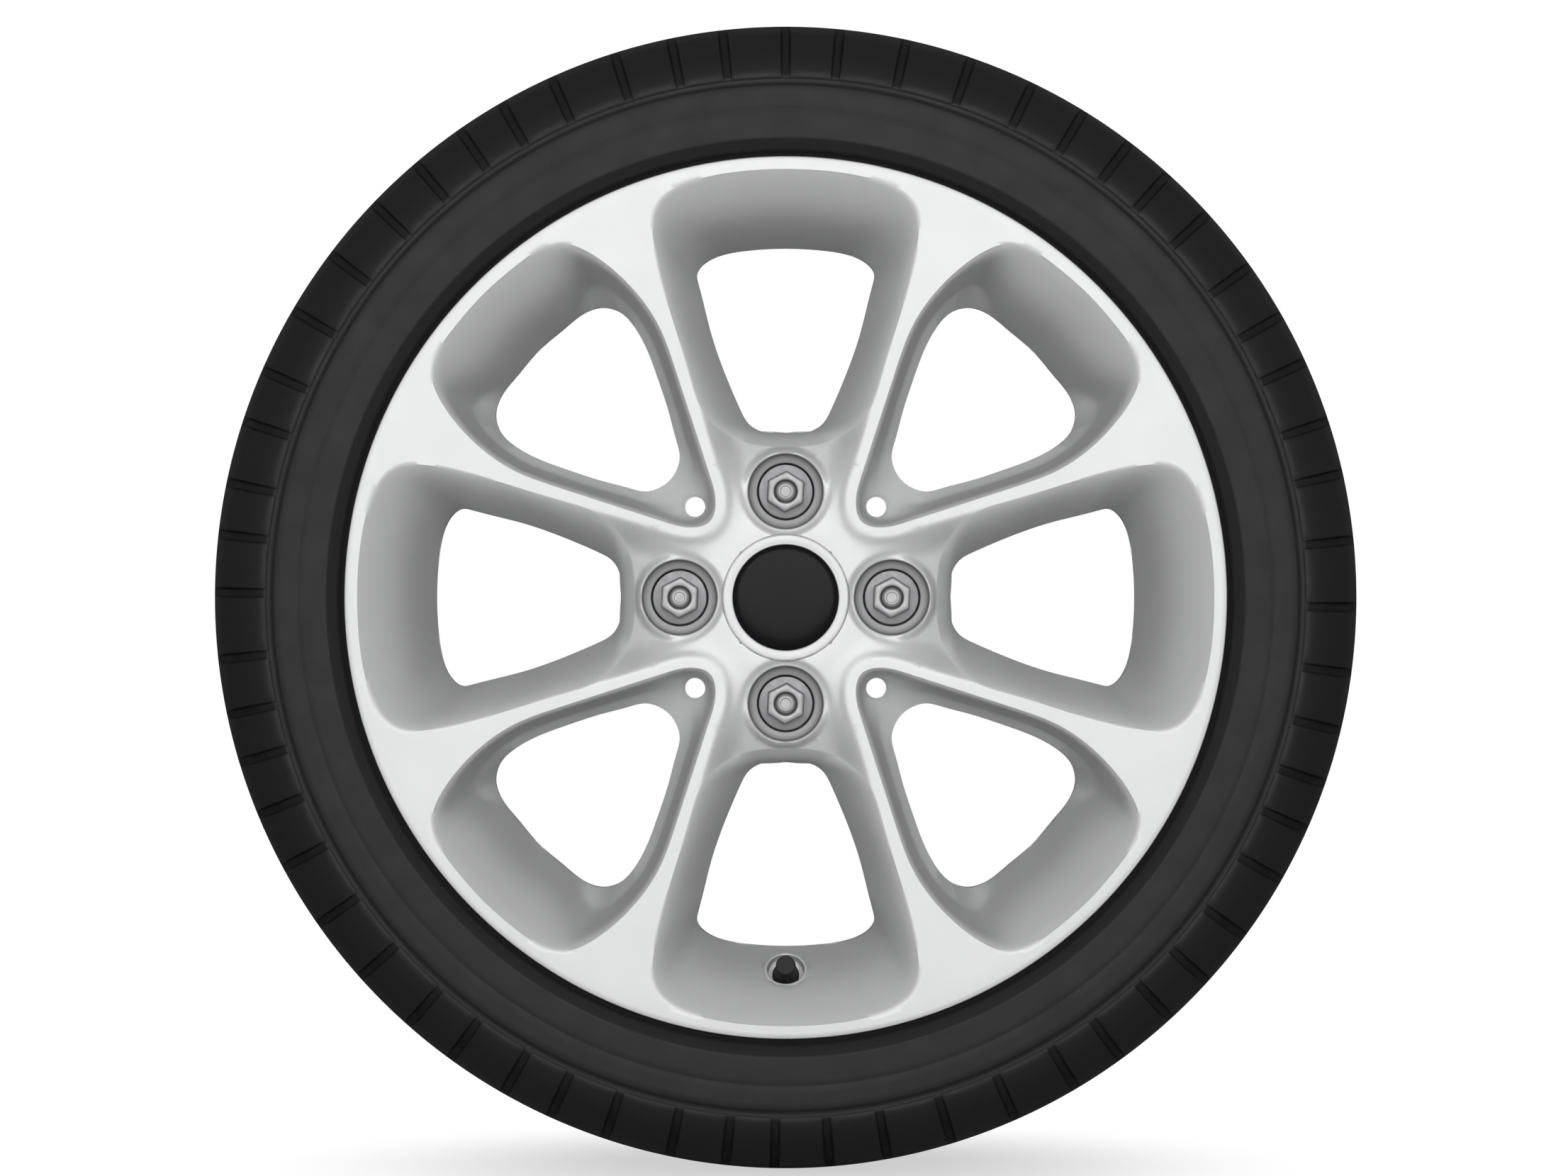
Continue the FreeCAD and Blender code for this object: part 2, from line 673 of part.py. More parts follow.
slots = sketch_in(cap, "leg_gaps", "XZ_Plane", [
    (-3.0, leg_r - size("cap_leg_thick") - 3.0),
    (3.0, leg_r - size("cap_leg_thick") - 3.0),
    (3.0, leg_r + size("cap_hook") + 1.0),
    (-3.0, leg_r + size("cap_hook") + 1.0),
])
slots.AttachmentOffset = Placement(Vector(0, 0, (leg_end - 1.0).value), Rotation())
slots.setExpression("AttachmentOffset.Base.z", (leg_end - 1.0).text)
gaps = cap.newObject("PartDesign::Pocket", "leg_gap")
gaps.Profile = slots
gaps.Reversed = True
gaps.setExpression("Length", (pad + size("bore_length") + 2.0 - leg_end + 1.0).text)
doc.recompute()
six = cap.newObject("PartDesign::PolarPattern", "leg_gap_ring")
six.Originals = [gaps]
six.Axis = (plane_of(cap, "Y_Axis"), [""])
six.Angle = 360.0
six.Occurrences = 6
doc.recompute()
cap.Tip = six

badge = new_body("cap_disc")
dome = size("cap_disc_dome")
dome_r = disc_r - 0.7
turned(badge, "disc_dome", [
    (0.0, -shelf),
    (disc_r - 0.1, -shelf),
    (disc_r - 0.1, -(hub_face - 0.6)),
    (dome_r, -(hub_face - 0.1), (dome_r * dome_r + dome * dome) / (dome * 2), -1),
    (disc_r * 0.1, -(hub_face - 0.1 + dome)),
    (0.0, -(hub_face - 0.1 + dome)),
])

wire_r = size("cap_wire") / 2
ring_at = leg_r - size("cap_leg_thick") - wire_r - 0.05
ring = doc.addObject("Part::Torus", "cap_spring")
ring.Label = "cap_spring"
ring.Placement = Placement(Vector(0, -(leg_end + 3.0).value, 0), Rotation(Vector(1, 0, 0), 90))
ring.setExpression("Radius1", ring_at.text)
ring.setExpression("Radius2", wire_r.text)
ring.setExpression("Placement.Base.y", (-(leg_end + 3.0)).text)


def valve_place():
    """Frame of the valve: its own Y runs from the rim floor out through the cap."""
    return Placement(valve_foot, Rotation(Vector(0, 1, 0), valve_way))


# Snap-in valve: rubber body, brass tube, core with pin, spring and seals, and the cap.
neck_r = size("valve_hole") / 2 - 0.05
bulb_r = size("valve_bulb") / 2
tube_r = size("valve_tube") / 2
rubber_r = size("valve_rubber") / 2
low_end = -(size("valve_seat_thick") + size("valve_bulb_length"))
head_r = size("core_head") / 2
core_r = size("core_neck") / 2
core_bore = size("core_bore") / 2
pin_r = size("core_pin") / 2
tube_end = size("valve_tube_end")
cap_inner = tube_r + size("thread_gap")
stem = new_body("valve_rubber")
turned(stem, "stem", [
    (tube_r, low_end + 2.0),
    (bulb_r - 2.5, low_end),
    (bulb_r, low_end + size("valve_bulb_length") - 2.5),
    (bulb_r, -size("valve_seat_thick")),
    (neck_r, -size("valve_seat_thick")),
    (neck_r, 0.0),
    (rubber_r, 0.0),
    (rubber_r, 1.6),
    (rubber_r - 1.0, 3.6),
    (tube_r + 0.8, size("valve_rubber_end") - 0.6),
    (tube_r + 0.4, size("valve_rubber_end")),
    (tube_r, size("valve_rubber_end")),
])
stem.Placement = valve_place()

tube = new_body("valve_tube")
chamber = tube_end - 8.0
turned(tube, "tube", [
    (core_r + 0.4, low_end + 2.0),
    (tube_r, low_end + 2.0),
    (tube_r, tube_end - 0.5),
    (tube_r - 0.5, tube_end),
    (head_r + 0.05, tube_end),
    (head_r + 0.05, chamber + 3.0),
    (core_r + 0.6, chamber + 2.0),
    (core_r + 0.6, chamber),
    (core_r + 0.4, chamber - 1.0),
])
tube.Placement = valve_place()

core_top = tube_end - 0.6
core_low = tube_end - 17.0
core = new_body("valve_core")
turned(core, "core_shell", [
    (pin_r + 0.35, core_low),
    (core_r, core_low),
    (core_r, chamber + 3.2),
    (head_r, chamber + 3.6),
    (head_r, core_top),
    (pin_r + 0.35, core_top),
    (pin_r + 0.35, chamber + 3.4),
    (core_bore, chamber + 3.4),
    (core_bore, core_low + 0.8),
    (pin_r + 0.35, core_low + 0.8),
])
core.Placement = valve_place()

gasket = new_body("core_gasket")
turned(gasket, "gasket", [
    (core_r, chamber + 0.05),
    (core_r + 0.55, chamber + 0.05),
    (core_r + 0.55, chamber + 2.0),
    (core_r, chamber + 2.0),
])
gasket.Placement = valve_place()

collar = core_low + 0.8 + 7.0
pin = new_body("core_pin")
turned(pin, "pin", [
    (0.0, core_low - 3.0),
    (pin_r, core_low - 3.0),
    (pin_r, collar),
    (core_bore - 0.35, collar),
    (core_bore - 0.35, collar + 0.8),
    (pin_r, collar + 0.8),
    (pin_r, core_top + 0.1),
    (0.0, core_top + 0.1),
])
pin.Placement = valve_place()

cup = new_body("core_cup")
turned(cup, "cup", [
    (pin_r, core_low - 2.6),
    (core_r - 0.5, core_low - 2.6),
    (core_r - 0.1, core_low - 1.2),
    (core_r - 0.1, core_low),
    (pin_r + 0.4, core_low),
    (pin_r, core_low - 0.3),
])
cup.Placement = valve_place()

spring = doc.addObject("Part::Feature", "core_spring")
wire = size("spring_wire").value / 2
coil_r = (pin_r.value + core_bore.value) / 2 + 0.05
coil_low = core_low.value + 0.8 + wire
coil_length = collar.value - wire - coil_low
helix = Part.makeHelix(coil_length / size("spring_turns").value, coil_length, coil_r)
circle = Part.Wire(Part.makeCircle(wire, Vector(coil_r, 0, 0), Vector(0, 1, 0)))
coil = Part.Wire(helix).makePipeShell([circle], True, True)
spring.Shape = coil
spring.Placement = valve_place() * Placement(Vector(0, coil_low, 0), Rotation(Vector(1, 0, 0), -90))
spring.Label = "core_spring"

dust = new_body("valve_cap")
cap_out = size("valve_cap_across") / 2
cap_end = size("valve_cap_end")
turned(dust, "cap_shape", [
    (cap_inner, size("valve_cap_start")),
    (cap_out, size("valve_cap_start")),
    (cap_out, cap_end - 0.5),
    (cap_out - 0.5, cap_end),
    (0.0, cap_end),
    (0.0, tube_end + 1.1),
    (cap_inner, tube_end + 1.1),
])
knurl = sketch_in(dust, "knurl_notch", "XZ_Plane", [
    (-0.35, cap_out - 0.25),
    (0.35, cap_out - 0.25),
    (0.5, cap_out + 0.3),
    (-0.5, cap_out + 0.3),
])
knurl.AttachmentOffset = Placement(Vector(0, 0, -(cap_end - 1.5).value), Rotation())
knurl.setExpression("AttachmentOffset.Base.z", (-(cap_end - 1.5)).text)
notch = dust.newObject("PartDesign::Pocket", "notch")
notch.Profile = knurl
notch.Reversed = True
notch.setExpression("Length", (cap_end - size("valve_cap_start") - 2.5).text)
doc.recompute()
notches = dust.newObject("PartDesign::PolarPattern", "notches")
notches.Originals = [notch]
notches.Axis = (plane_of(dust, "Y_Axis"), [""])
notches.Angle = 360.0
notches.Occurrences = 18
doc.recompute()
dust.Tip = notches
dust.Placement = valve_place()

washer = new_body("valve_cap_seal")
turned(washer, "seal", [
    (1.6, tube_end),
    (cap_inner - 0.1, tube_end),
    (cap_inner - 0.1, tube_end + 1.1),
    (1.6, tube_end + 1.1),
])
washer.Placement = valve_place()

doc.recompute()

# Every object must be sound before anything is written.
for thing in doc.Objects:
    if "Invalid" in thing.State or "Error" in thing.State:
        raise RuntimeError("unsound object: " + thing.Label)

NODES = ["alloy_rim", "tyre", "wheel_bolt_1", "wheel_bolt_2", "wheel_bolt_3", "wheel_bolt_4",
         "centre_cap", "cap_disc", "cap_spring", "valve_rubber", "valve_tube", "valve_core",
         "core_gasket", "core_pin", "core_cup", "core_spring", "valve_cap", "valve_cap_seal"]
os.makedirs("parts", exist_ok=True)
for label in NODES:
    found = doc.getObjectsByLabel(label)[0]
    shape = found.Shape
    if shape.isNull() or not shape.isValid() or not shape.Solids:
        raise RuntimeError("no valid solid: " + label)
    print(label, len(shape.Solids), round(shape.Volume / 1000, 2), "cm3", shape.BoundBox)
    shape.exportStep("parts/%s.step" % label)
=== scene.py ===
import bmesh
import bpy
import numpy as np
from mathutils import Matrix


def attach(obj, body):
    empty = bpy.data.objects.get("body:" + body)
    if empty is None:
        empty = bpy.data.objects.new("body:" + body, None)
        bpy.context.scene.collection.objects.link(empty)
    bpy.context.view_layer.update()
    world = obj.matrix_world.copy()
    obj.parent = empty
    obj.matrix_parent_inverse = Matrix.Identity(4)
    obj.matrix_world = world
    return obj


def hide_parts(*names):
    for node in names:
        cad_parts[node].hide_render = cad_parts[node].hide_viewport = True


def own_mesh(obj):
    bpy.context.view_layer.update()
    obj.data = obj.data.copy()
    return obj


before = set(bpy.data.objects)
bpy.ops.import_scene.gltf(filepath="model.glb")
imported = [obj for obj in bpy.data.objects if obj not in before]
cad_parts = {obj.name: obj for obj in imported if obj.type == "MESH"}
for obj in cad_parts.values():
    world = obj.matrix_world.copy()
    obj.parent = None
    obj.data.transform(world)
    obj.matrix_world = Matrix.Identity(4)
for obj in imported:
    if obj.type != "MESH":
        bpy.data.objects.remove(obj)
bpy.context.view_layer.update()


# Alloy rim: one aluminium casting with eight spokes in four pairs, its barrel, flanges and seats turned,
# then lacquered silver. The front is worked out for one eighth of the wheel, mirrored and turned round.
# Lengths are millimetres: x across, v outwards from the axle, a forwards.
def soft_step(low, high, value):
    """Rises from 0 at low to 1 at high as 3t^2 - 2t^3."""
    t = np.clip((value - low) / (high - low), 0.0, 1.0)
    return t * t * (3.0 - 2.0 * t)


def closed_spline(half):
    """Closed cubic spline through a half outline and its mirror image. Knots are chord lengths and the second
    derivatives solve the cyclic system; the answer takes knot numbers with fractions."""
    half = np.array(half, float)
    p = np.vstack([half, half[-2:0:-1] * (-1.0, 1.0)])
    n = len(p)
    i = np.arange(n)
    step = np.roll(p, -1, 0) - p
    h = np.linalg.norm(step, axis=1)
    system = np.zeros((n, n))
    system[i, i] = 2.0 * (h + h[i - 1])
    system[i, i - 1] = h[i - 1]
    system[i, (i + 1) % n] = h
    slope = step / h[:, None]
    bend = np.linalg.solve(system, 6.0 * (slope - np.roll(slope, 1, 0)))

    def at(u):
        k = np.floor(u).astype(int) % n
        f = (u - np.floor(u))[:, None]
        g = 1.0 - f
        nxt = (k + 1) % n
        pull = (g ** 3 - g) * bend[k] + (f ** 3 - f) * bend[nxt]
        return g * p[k] + f * p[nxt] + pull * h[k][:, None] ** 2 / 6.0

    return at


CROSS_MOUTH = [(0, 201.4), (30, 199.1), (48, 194.2), (57, 188.8), (61.9, 181), (62.4, 170), (59.2, 152),
               (54.7, 135.5), (49.7, 119.5), (45, 103.5), (40.3, 90), (31, 79), (18, 73), (0, 71)]
CROSS_THROAT = [(0, 168.3), (20, 167.1), (31, 164.9), (39, 160.5), (42.4, 154.5), (41.8, 150.5), (39.2, 140.5),
                (35.7, 126.5), (31.5, 113.5), (26.4, 100.5), (21.6, 89.5), (17.4, 82.6), (10.8, 79), (0, 78.5)]
DIAGONAL_MOUTH = [(0, 201.3), (20, 200.0), (36, 196.6), (43.3, 192), (48.6, 182.5), (51.3, 170), (51.8, 152),
                  (48, 132), (40.5, 115), (32, 98.3), (23.2, 81), (15.5, 66), (8.4, 55), (0, 50.5)]
DIAGONAL_THROAT = [(0, 168.3), (16, 167), (28, 165.5), (35.5, 161.5), (39.2, 156), (40.6, 151), (40.3, 143),
                   (36.6, 130), (30.2, 116), (22.8, 101.5), (16, 89.8), (11.5, 83), (6.2, 79.8), (0, 78.6)]
cross_mouth, cross_throat = closed_spline(CROSS_MOUTH), closed_spline(CROSS_THROAT)
diagonal_mouth, diagonal_throat = closed_spline(DIAGONAL_MOUTH), closed_spline(DIAGONAL_THROAT)
INNER = 13.0  # knot number of a window's inner end; a whole outline has twice as many
CROSS_END, DIAGONAL_END = 71.0, 50.5
MOUTH_R, THROAT_R = 201.4, 168.3
dense = np.linspace(INNER, 0.0, 2601)
cross_dense, diagonal_dense = cross_mouth(dense), diagonal_mouth(dense)
cross_reach = np.maximum.accumulate(np.hypot(*cross_dense.T))
diagonal_reach = np.maximum.accumulate(np.hypot(*diagonal_dense.T))


def turn(xy, degrees):
    """Points turned about the axle, clockwise as seen from the front."""
    c, s = np.cos(np.radians(degrees)), np.sin(np.radians(degrees))
    return np.stack([xy[..., 0] * c + xy[..., 1] * s, xy[..., 1] * c - xy[..., 0] * s], -1)


BOLT_CIRCLE, BOLT_MOUTH, BOLT_BOSS = 50.0, 18.25, 67.4


def face_height(xy):
    """Front of the casting: a cone falling 4 mm from rim to hub, ridges 5 mm wide round the diagonal windows,
    a dome between the ridges falling as r^2, and flat rings round the bolt pockets."""
    r = np.hypot(xy[..., 0], xy[..., 1])
    flat = 74.5 - 4.0 * np.clip((MOUTH_R - r) / 171.4, 0.0, 1.0)
    own = np.abs(turn(xy, -45.0)) * (-1.0, 1.0)
    line = diagonal_dense[::6] * (-1.0, 1.0)
    off = np.sqrt(((own[..., None, :] - line) ** 2).sum(-1)).min(-1)
    dome = 11.0 * np.clip((r - 31.0) / 41.0, 0.0, 1.12) ** 2
    low = 1.1 * soft_step(4.0, 8.5, off) + dome * soft_step(5.0, 19.0, off)
    height = flat - low * (1.0 - soft_step(80.0, 112.0, r))
    boss = 1.0 - soft_step(18.4, 22.0, np.hypot(xy[..., 0], xy[..., 1] - BOLT_CIRCLE))
    return height * (1.0 - boss) + BOLT_BOSS * boss


def back_height(xy):
    """Back of the casting: mounting pad, spoke backs and the slope down to the barrel, by distance from the axle."""
    return np.interp(np.hypot(xy[..., 0], xy[..., 1]), (31, 74, 77, 148, 158, THROAT_R), (32, 32, 30, 29, 18, -9.5))


def quads(rows, columns, start=0):
    """Corner numbers of the faces of a grid that is stored row by row."""
    k = start + np.arange((rows - 1) * columns).reshape(rows - 1, columns)[:, :-1].ravel()
    return np.stack([k, k + 1, k + columns + 1, k + columns], 1)


def with_height(xy, height):
    """Adds the forward height as a third coordinate."""
    return np.concatenate([xy, np.broadcast_to(height, xy.shape[:-1])[..., None]], -1)


# Rows of the front patch, by distance from the axle, closer together where an outline lies along them.
around_bolt = np.linspace(0.0, np.pi, 33)
bolt_rows = np.sqrt(BOLT_CIRCLE ** 2 + BOLT_MOUTH ** 2 - 2 * BOLT_CIRCLE * BOLT_MOUTH * np.cos(around_bolt))
near_end = np.array([0.0, 0.04, 0.15, 0.35, 0.65, 1.05, 1.6, 2.3])
row_r = np.unique(np.round(np.concatenate([
    [30.0, 30.9], bolt_rows, [69.2, 70.1], DIAGONAL_END + near_end, CROSS_END + near_end,
    np.arange(74.5, 190.0, 1.7), np.arange(190.5, 199.6, 0.9)]), 4))
cross_u = np.interp(row_r[row_r >= CROSS_END], cross_reach, dense)
diagonal_u = np.interp(row_r[row_r >= DIAGONAL_END], diagonal_reach, dense)
cosine = (BOLT_CIRCLE ** 2 + BOLT_MOUTH ** 2 - row_r ** 2) / (2 * BOLT_CIRCLE * BOLT_MOUTH)
angle = np.arccos(np.clip(cosine, -1.0, 1.0))
by_bolt = np.stack([BOLT_MOUTH * np.sin(angle), BOLT_CIRCLE - BOLT_MOUTH * np.cos(angle)], 1)
on_axis = np.stack([row_r * 0.0, row_r], 1)
left = np.where((np.abs(cosine) <= 1.0)[:, None], by_bolt, on_axis)
left[row_r >= CROSS_END] = cross_mouth(cross_u)
right = turn(on_axis, 45.0)
right[row_r >= DIAGONAL_END] = turn(diagonal_mouth(diagonal_u) * (-1.0, 1.0), 45.0)


def between(one, two, share):
    """Blends two rows of points in polar terms: r and angle each run straight from one to the other."""
    r = [np.hypot(e[:, 0], e[:, 1])[:, None] for e in (one, two)]
    t = [np.arctan2(e[:, 0], e[:, 1])[:, None] for e in (one, two)]
    r, t = r[0] + (r[1] - r[0]) * share, t[0] + (t[1] - t[0]) * share
    return np.stack([r * np.sin(t), r * np.cos(t)], -1)


COLUMNS = 20
share = np.linspace(0.0, 1.0, COLUMNS)
front_xy = between(left, right, share)
front = with_height(front_xy, face_height(front_xy))
cross_arc = np.linspace(0.0, cross_u[-1], 17)
diagonal_arc = np.linspace(diagonal_u[-1], 0.0, 17)
edge_xy = np.vstack([cross_mouth(cross_arc)[:-1], front_xy[-1],
                     turn(diagonal_mouth(diagonal_arc) * (-1, 1), 45.0)[1:]])
edge_angle = np.arctan2(edge_xy[:, 0], edge_xy[:, 1])
edge_out = np.stack([np.sin(edge_angle), np.cos(edge_angle)], 1) * 205.0
lip_xy = edge_xy + (edge_out - edge_xy) * np.array([0.0, 0.5, 1.0])[:, None, None]
lip = with_height(lip_xy, face_height(lip_xy))

# Walls of the window openings, from the mouth down to the throat.
BARREL_DEPTH = np.array([0, 1.2, 2.5, 4.2, 6.0, 8.0, 10.0, 12.2, 14.6, 17.2, 20.0, 22.7, 25.5, 28.6, 32.0, 36.3, 41.0,
                         46.2, 52.0, 58.3, 65.0, 71.0, 77.0, 84.0, 110.0])
BARREL_R = np.array([201.4, 199.9, 198.3, 196.5, 194.8, 193.0, 191.3, 189.6, 187.9, 186.2, 184.6, 183.2, 181.9, 180.6,
                     179.4, 178.0, 176.7, 175.4, 174.1, 172.8, 171.5, 170.4, 169.4, 168.3, 168.3])
down = np.concatenate([np.linspace(0, 0.1, 7), np.linspace(0.14, 1.0, 22)])


def window_wall(u, mouth_at, throat_at, degrees, side_law, hub_law):
    """One window's wall: point = mouth + (throat - mouth) g(t) at depth t D. g follows the side law along the spokes,
    the barrel's profile at the outer end and the hub law at the inner end."""
    mouth, throat = mouth_at(u), throat_at(u)
    own = np.abs(mouth) * (1.0 if degrees == 0 else -1.0, 1.0)
    top = face_height(turn(own, degrees))
    depth = top - back_height(throat)
    outer = soft_step(1.2, 4.2, np.minimum(u, 2 * INNER - u))
    inner = soft_step(10.6, 12.4, INNER - np.abs(u - INNER))
    t = down[:, None]
    barrel = (MOUTH_R - np.interp(t * depth, BARREL_DEPTH, BARREL_R)) / (MOUTH_R - THROAT_R)
    g = barrel * (1.0 - outer) + side_law(t) * (outer - inner) + hub_law(t) * inner
    return with_height(mouth + (throat - mouth) * g[..., None], top - t * depth)


def whole_loop(u):
    """Knot numbers of a full outline from those of its half."""
    return np.concatenate([u, 2 * INNER - u[::-1][1:]])


cross_half = np.unique(np.concatenate([cross_u, cross_arc]))
diagonal_half = np.unique(np.concatenate([diagonal_u, diagonal_arc]))
cross_loop, diagonal_loop = whole_loop(cross_half), whole_loop(diagonal_half)
cross_wall = window_wall(cross_loop, cross_mouth, cross_throat, 0.0,
                         lambda t: (np.sqrt(t + 0.02) - 0.02 ** 0.5) / (1.02 ** 0.5 - 0.02 ** 0.5),
                         lambda t: 1.0 - (1.0 - t) ** 3)
diagonal_wall = window_wall(
    diagonal_loop, diagonal_mouth, diagonal_throat, 45.0,
    lambda t: np.interp(t, (0, 0.012, 0.03, 0.06, 0.1, 0.16, 0.82, 0.86, 1),
                        (0, 0.055, 0.11, 0.165, 0.21, 0.25, 0.56, 0.62, 1)),
    lambda t: np.interp(t, (0, 0.03, 0.08, 0.5, 0.6, 1), (0, 0.04, 0.07, 0.16, 0.24, 1)))

# Spoke backs and mounting pad, between the two throats.
back_left = np.stack([row_r * 0.0, np.interp(row_r, (30, CROSS_END), (31, 78.5))], 1)
back_left[row_r >= CROSS_END] = cross_throat(cross_u)
back_right = turn(np.stack([row_r * 0.0, np.interp(row_r, (30, DIAGONAL_END), (31, 78.6))], 1), 45.0)
back_right[row_r >= DIAGONAL_END] = turn(diagonal_throat(diagonal_u) * (-1.0, 1.0), 45.0)
back_xy = between(back_left, back_right, share)
back = with_height(back_xy, back_height(back_xy))
foot_xy = np.vstack([cross_throat(cross_arc)[:-1], back_xy[-1],
                     turn(diagonal_throat(diagonal_arc) * (-1, 1), 45.0)[1:]])
foot_angle = np.arctan2(foot_xy[:, 0], foot_xy[:, 1])
foot_out = np.stack([np.sin(foot_angle), np.cos(foot_angle)], 1) * THROAT_R
foot_strip = with_height(np.stack([foot_xy, foot_out]), np.stack([back_height(foot_xy), back_height(foot_out)]))

# Bolt pocket: rounded mouth, bore and a flat floor round the bolt.
POCKET = np.array([(18.25, 67.4), (18.02, 67.25), (17.86, 66.9), (17.76, 66.2), (17.66, 64.6),
                   (17.5, 63.2), (17.2, 62.5), (16.7, 62.15), (15.0, 61.85), (13.75, 61.6), (13.5, 61.3),
                   (13.45, 60.0), (13.2, 56.0)])
half_turn = np.unique(angle[np.abs(cosine) <= 1.0])
full_turn = np.concatenate([half_turn, 2 * np.pi - half_turn[-2::-1]])
pocket = np.stack([POCKET[:, :1] * np.sin(full_turn), BOLT_CIRCLE - POCKET[:, :1] * np.cos(full_turn),
                   np.broadcast_to(POCKET[:, 1:], (len(POCKET), len(full_turn)))], -1)


def pierced(vertices, faces, gap, radius):
    """A grid opened round an axis. Corners nearer than the radius are pushed out to it along the gap, the way from
    the axis to each corner, and faces wholly inside are left out."""
    way = gap(vertices)
    distance = np.linalg.norm(way, axis=1)
    inside = distance < radius
    push = np.where(inside, radius / np.maximum(distance, 0.01) - 1.0, 0.0)
    return vertices + way * push[:, None], faces[~inside[faces].all(1)]


DRAIN_AT, HOLLOW_AT = 60.8, 44.5
DIAGONAL = 0.5 ** 0.5
BACK_DRAIN_R, WEB_DRAIN_R, BACK_HOLLOW_R = 5.8, 5.6, 9.0
VALVE_WALL_R, VALVE_BARREL_R = 9.8, 6.5


def from_drain(vertices):
    """Way from a drain hole's axis, which runs straight through the web."""
    return (vertices - (0.0, DRAIN_AT, 0.0)) * (1.0, 1.0, 0.0)


def from_back_drain(vertices):
    """The same for the spoke backs, whose own frame lies an eighth turn from the drain hole."""
    return (vertices - (DRAIN_AT * DIAGONAL, DRAIN_AT * DIAGONAL, 0.0)) * (1.0, 1.0, 0.0)


def from_hollow(vertices):
    """Way from the axis of a round hollow in the mounting pad, on the same eighth turn."""
    return (vertices - (HOLLOW_AT * DIAGONAL, HOLLOW_AT * DIAGONAL, 0.0)) * (1.0, 1.0, 0.0)


middle = diagonal_wall[:, len(diagonal_loop) // 2]
drain_turn = np.linspace(0.0, 2 * np.pi, 41)
DRAIN_EDGE = np.array([(6.5, -0.3), (6.1, 0.15), (5.2, 0.15), (4.95, 0.05), (4.8, -0.2)])
drain_xy = np.stack([DRAIN_EDGE[:, :1] * np.sin(drain_turn), DRAIN_AT + DRAIN_EDGE[:, :1] * np.cos(drain_turn)], -1)
drain_top = np.interp(drain_xy[..., 1], middle[:, 1], middle[:, 2]) + DRAIN_EDGE[:, 1:]
drain_back = with_height(drain_xy[::-1], np.broadcast_to(31.9 - DRAIN_EDGE[::-1, 1:], drain_top.shape))
drain = np.concatenate([with_height(drain_xy, drain_top), drain_back])
HOLLOW = np.array([(9.7, 32.1), (9.3, 31.96), (8.7, 31.96), (8.5, 32.1), (8.4, 38.7), (8.1, 39.0), (0.01, 39.0)])
hollow_xy = np.stack([HOLLOW[:, :1] * np.sin(drain_turn), HOLLOW_AT + HOLLOW[:, :1] * np.cos(drain_turn)], -1)
hollow = with_height(hollow_xy, HOLLOW[:, 1:])
back_open = pierced(back.reshape(-1, 3), quads(*back.shape[:2]), from_back_drain, BACK_DRAIN_R)
back_points, back_faces = pierced(*back_open, from_hollow, BACK_HOLLOW_R)
web_points, web_faces = pierced(diagonal_wall.reshape(-1, 3), quads(*diagonal_wall.shape[:2]),
                                from_drain, WEB_DRAIN_R)

VALVE_FOOT = np.array([0.0, -180.5, 29.0])
VALVE_WAY = np.array([0.0, 0.309017, 0.951057])
VALVE_SIDE = np.array([0.0, 0.951057, -0.309017])


def from_valve(vertices):
    """Way from the valve's leaning axis; points far along it count as out of reach."""
    gap = vertices - VALVE_FOOT
    along = (gap @ VALVE_WAY)[:, None]
    return np.where(np.abs(along) < 30.0, gap - along * VALVE_WAY, 99.0)


# Valve pocket: a round lip whose edge lies on the plane a = LIP_TOP - LIP_FALL (v + LIP_AT), the bore below it
# and its flat floor.
LIP_TOP, LIP_FALL, LIP_AT = 34.0, 1.45, 171.5
valve_turn = np.linspace(0.0, 2 * np.pi, 65)
VALVE_LIP = np.array([(10.9, -16.0), (10.6, -4.0), (10.4, -1.6), (10.1, -0.6), (9.7, -0.05), (9.3, 0.0), (8.95, -0.3),
                      (8.75, -1.0)])
VALVE_FLOOR = np.array([(8.7, 1.0), (8.5, 0.5), (8.1, 0.3), (5.0, 0.2)])
ring_out = np.cos(valve_turn)[:, None] * (1.0, 0.0, 0.0) + np.sin(valve_turn)[:, None] * VALVE_SIDE
lip_foot = VALVE_FOOT + VALVE_LIP[:, :1, None] * ring_out
lip_rise = LIP_TOP - LIP_FALL * (lip_foot[..., 1] + LIP_AT) - lip_foot[..., 2]
lip_rise = lip_rise / (VALVE_WAY[2] + LIP_FALL * VALVE_WAY[1]) + VALVE_LIP[:, 1:]
floor_foot = VALVE_FOOT + VALVE_FLOOR[:, :1, None] * ring_out + VALVE_FLOOR[:, 1:, None] * VALVE_WAY
valve_pocket = np.concatenate([lip_foot + lip_rise[..., None] * VALVE_WAY, floor_foot])


def placed(patch, degrees, mirror=False):
    """A patch's points turned about the axle and put in metres, with x right, y back and z up."""
    p = patch.reshape(-1, 3) * (-1.0 if mirror else 1.0, 1.0, 1.0)
    xy = turn(p[:, :2], degrees)
    return np.stack([xy[:, 0], -p[:, 2], xy[:, 1]], 1) / 1000.0


